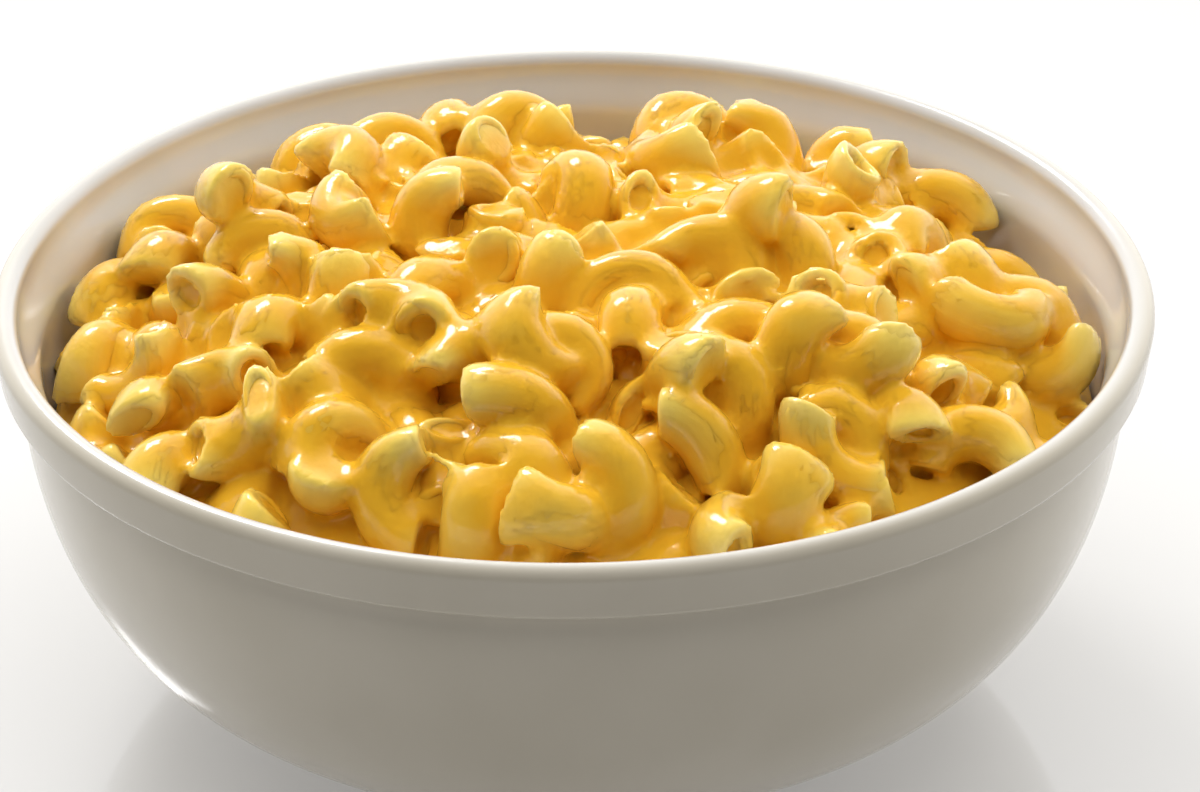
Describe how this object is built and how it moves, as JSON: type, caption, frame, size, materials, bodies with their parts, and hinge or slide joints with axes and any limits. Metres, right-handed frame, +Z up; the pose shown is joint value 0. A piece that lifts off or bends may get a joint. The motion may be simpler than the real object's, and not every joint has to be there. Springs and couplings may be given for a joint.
{
  "type": "bowl of macaroni and cheese",
  "caption": "Round white footed bowl with a banded rim, heaped with cheese-sauced elbow macaroni in a low dome above the rim.",
  "frame": {"origin": "centre of the bowl's foot ring, on the surface it stands on", "axes": "+Z up, the bowl's turning axis; -Y towards the front, +X to the right seen from the front"},
  "size_m": [0.165, 0.165, 0.0767],
  "materials": {
    "glazed_porcelain": "glossy white glaze",
    "macaroni_and_cheese": "moist cooked pasta under a glossy cheese sauce"
  },
  "bodies": {
    "root": {"bowl": "glazed_porcelain", "macaroni_heap": "macaroni_and_cheese"}
  },
  "joints": []
}
